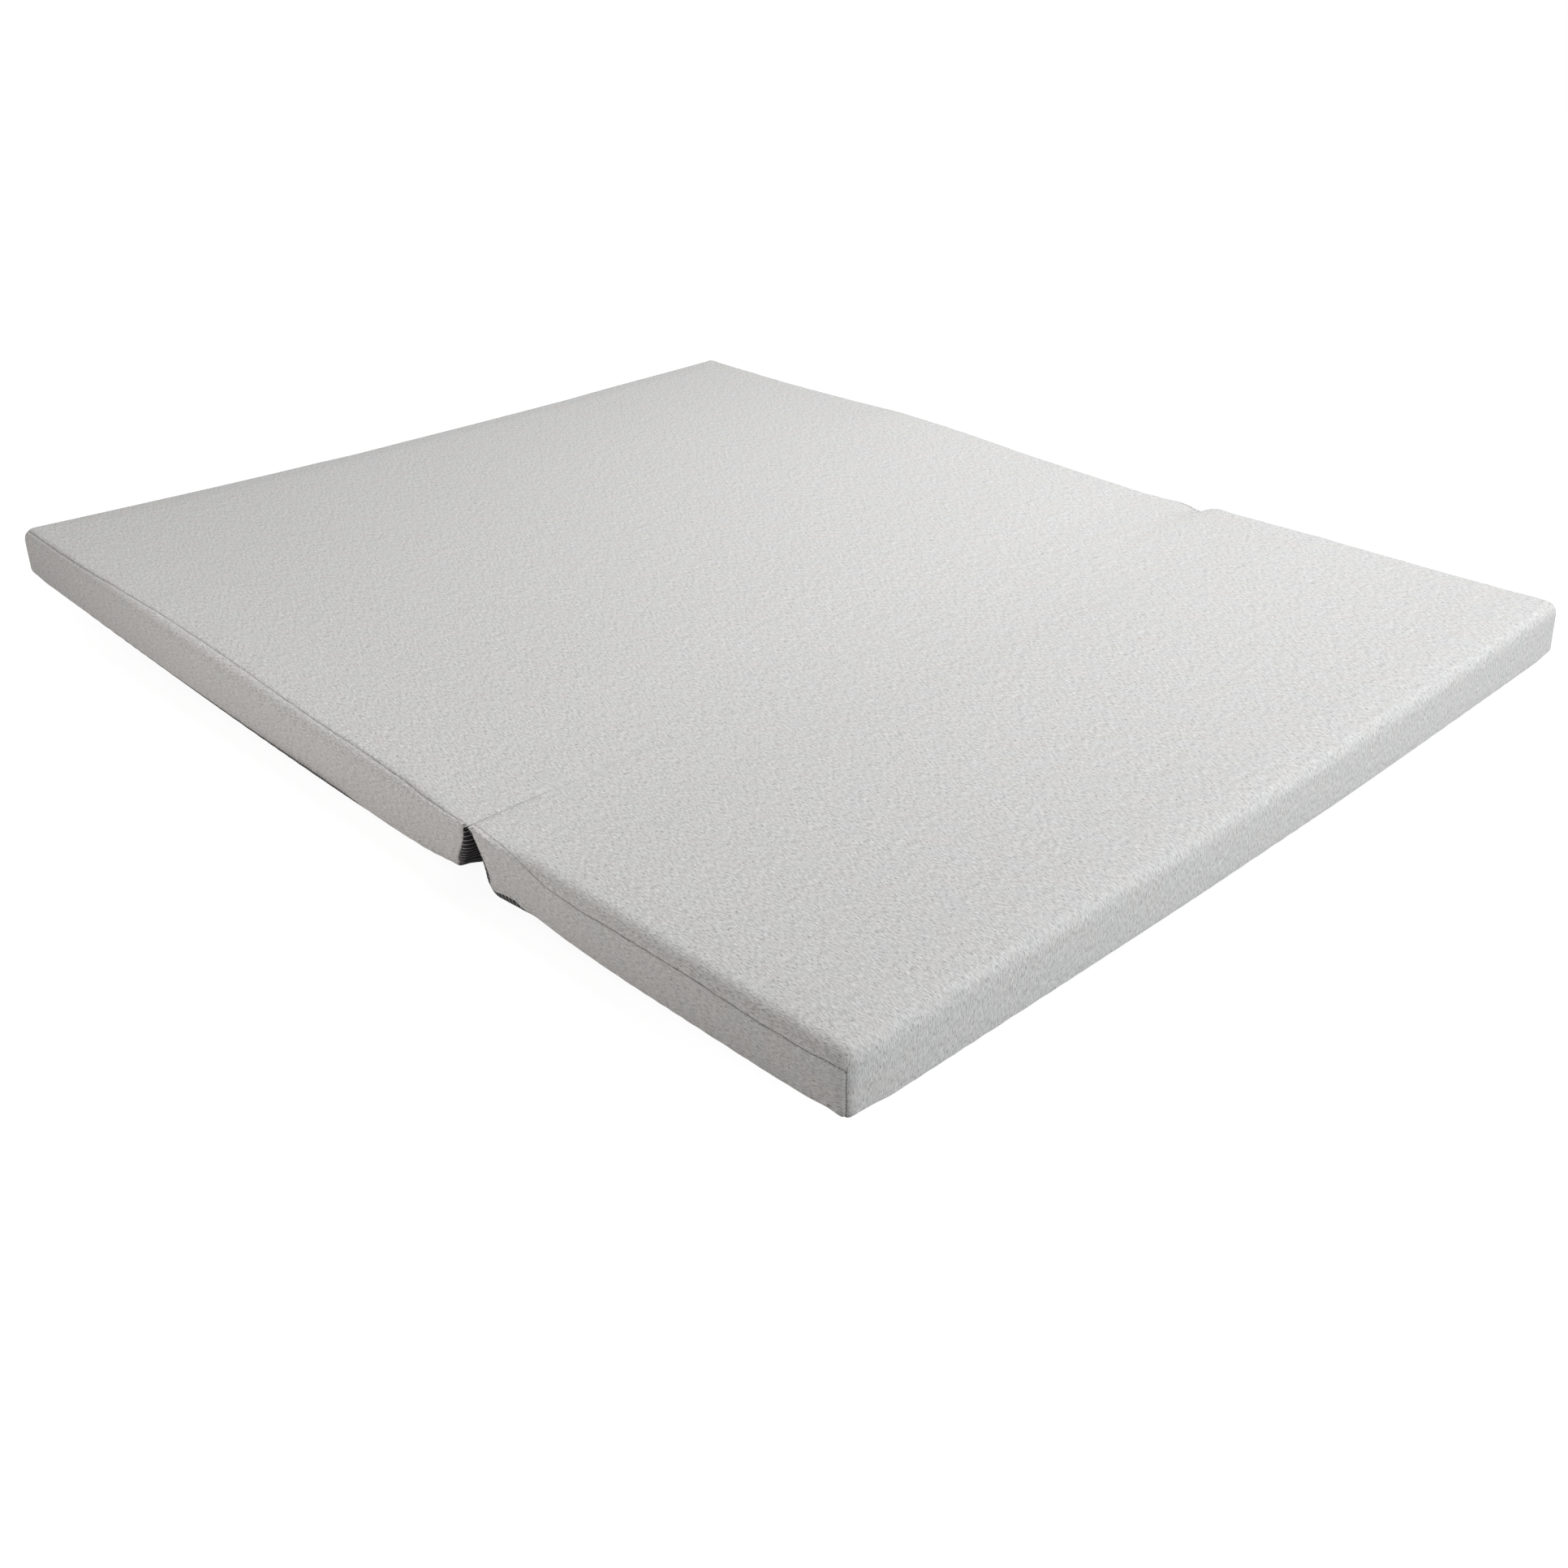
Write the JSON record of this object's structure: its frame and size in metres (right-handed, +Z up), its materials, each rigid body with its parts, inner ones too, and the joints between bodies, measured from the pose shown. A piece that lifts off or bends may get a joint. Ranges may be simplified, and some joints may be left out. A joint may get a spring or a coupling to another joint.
{
  "type": "folding sofa bed pad",
  "caption": "Folding foam pad of a sofa bed: a long and a short section in grey woven covers, hinged by a seam across the top over a V-shaped gap, each cover closed by a zip.",
  "frame": {"origin": "on the floor under the middle of the open pad", "axes": "+X along the length towards the short section, +Y across the width towards the side with the zips, +Z up out of the top cloth"},
  "size_m": [1.7984, 1.4214, 0.1042],
  "materials": {
    "grey_cloth": "light grey heathered weave with fine dark and light slubs",
    "pinstripe_cloth": "black lining cloth with fine light grey pinstripes",
    "foam": "open-cell foam, hidden in the cover",
    "zip_tape": "grey woven tape",
    "zip_teeth": "grey coil",
    "slider_metal": "satin gunmetal"
  },
  "bodies": {
    "long_section": {"fold_seam": "grey_cloth", "long_foam_core": "foam", "long_top_panel": "grey_cloth", "long_near_side_panel": "grey_cloth", "long_far_side_panel": "grey_cloth", "long_underside_panel": "pinstripe_cloth", "long_zip_upper_tape": "zip_tape", "long_zip_lower_tape": "zip_tape", "long_zip_upper_teeth": "zip_teeth", "long_zip_lower_teeth": "zip_teeth", "long_zip_bottom_stop": "slider_metal", "long_zip_upper_top_stop": "slider_metal", "long_zip_lower_top_stop": "slider_metal"},
    "short_section": {"short_foam_core": "foam", "short_top_panel": "grey_cloth", "short_near_side_panel": "grey_cloth", "short_far_side_panel": "grey_cloth", "short_underside_panel": "pinstripe_cloth", "short_zip_upper_tape": "zip_tape", "short_zip_lower_tape": "zip_tape", "short_zip_upper_teeth": "zip_teeth", "short_zip_lower_teeth": "zip_teeth", "short_zip_bottom_stop": "slider_metal", "short_zip_upper_top_stop": "slider_metal", "short_zip_lower_top_stop": "slider_metal"},
    "long_slider": {"long_zip_slider": "slider_metal"},
    "long_pull": {"long_zip_pull": "slider_metal"},
    "short_slider": {"short_zip_slider": "slider_metal"},
    "short_pull": {"short_zip_pull": "slider_metal"}
  },
  "joints": [
    {"name": "fold_hinge", "type": "hinge", "parent": "long_section", "child": "short_section", "pos_m": [0.3, 0, 0.0804], "axis": [0, -1, 0], "range_deg": [0, 178]},
    {"name": "long_slider_run", "type": "slide", "parent": "long_section", "child": "long_slider", "axis": [-1, 0, 0], "range_m": [0, 0.92], "deforming": ["long_zip_upper_teeth", "long_zip_lower_teeth"]},
    {"name": "long_pull_swing", "type": "hinge", "parent": "long_slider", "child": "long_pull", "pos_m": [0.16, 0.7095, 0.036], "axis": [0, 0, -1], "range_deg": [0, 180]},
    {"name": "short_slider_run", "type": "slide", "parent": "short_section", "child": "short_slider", "axis": [-0.9996, 0, -0.0278], "range_m": [0, 0.36], "deforming": ["short_zip_upper_teeth", "short_zip_lower_teeth"]},
    {"name": "short_pull_swing", "type": "hinge", "parent": "short_slider", "child": "short_pull", "pos_m": [0.78, 0.7095, 0.04753], "axis": [0.0278, 0, -0.9996], "range_deg": [0, 180]}
  ]
}
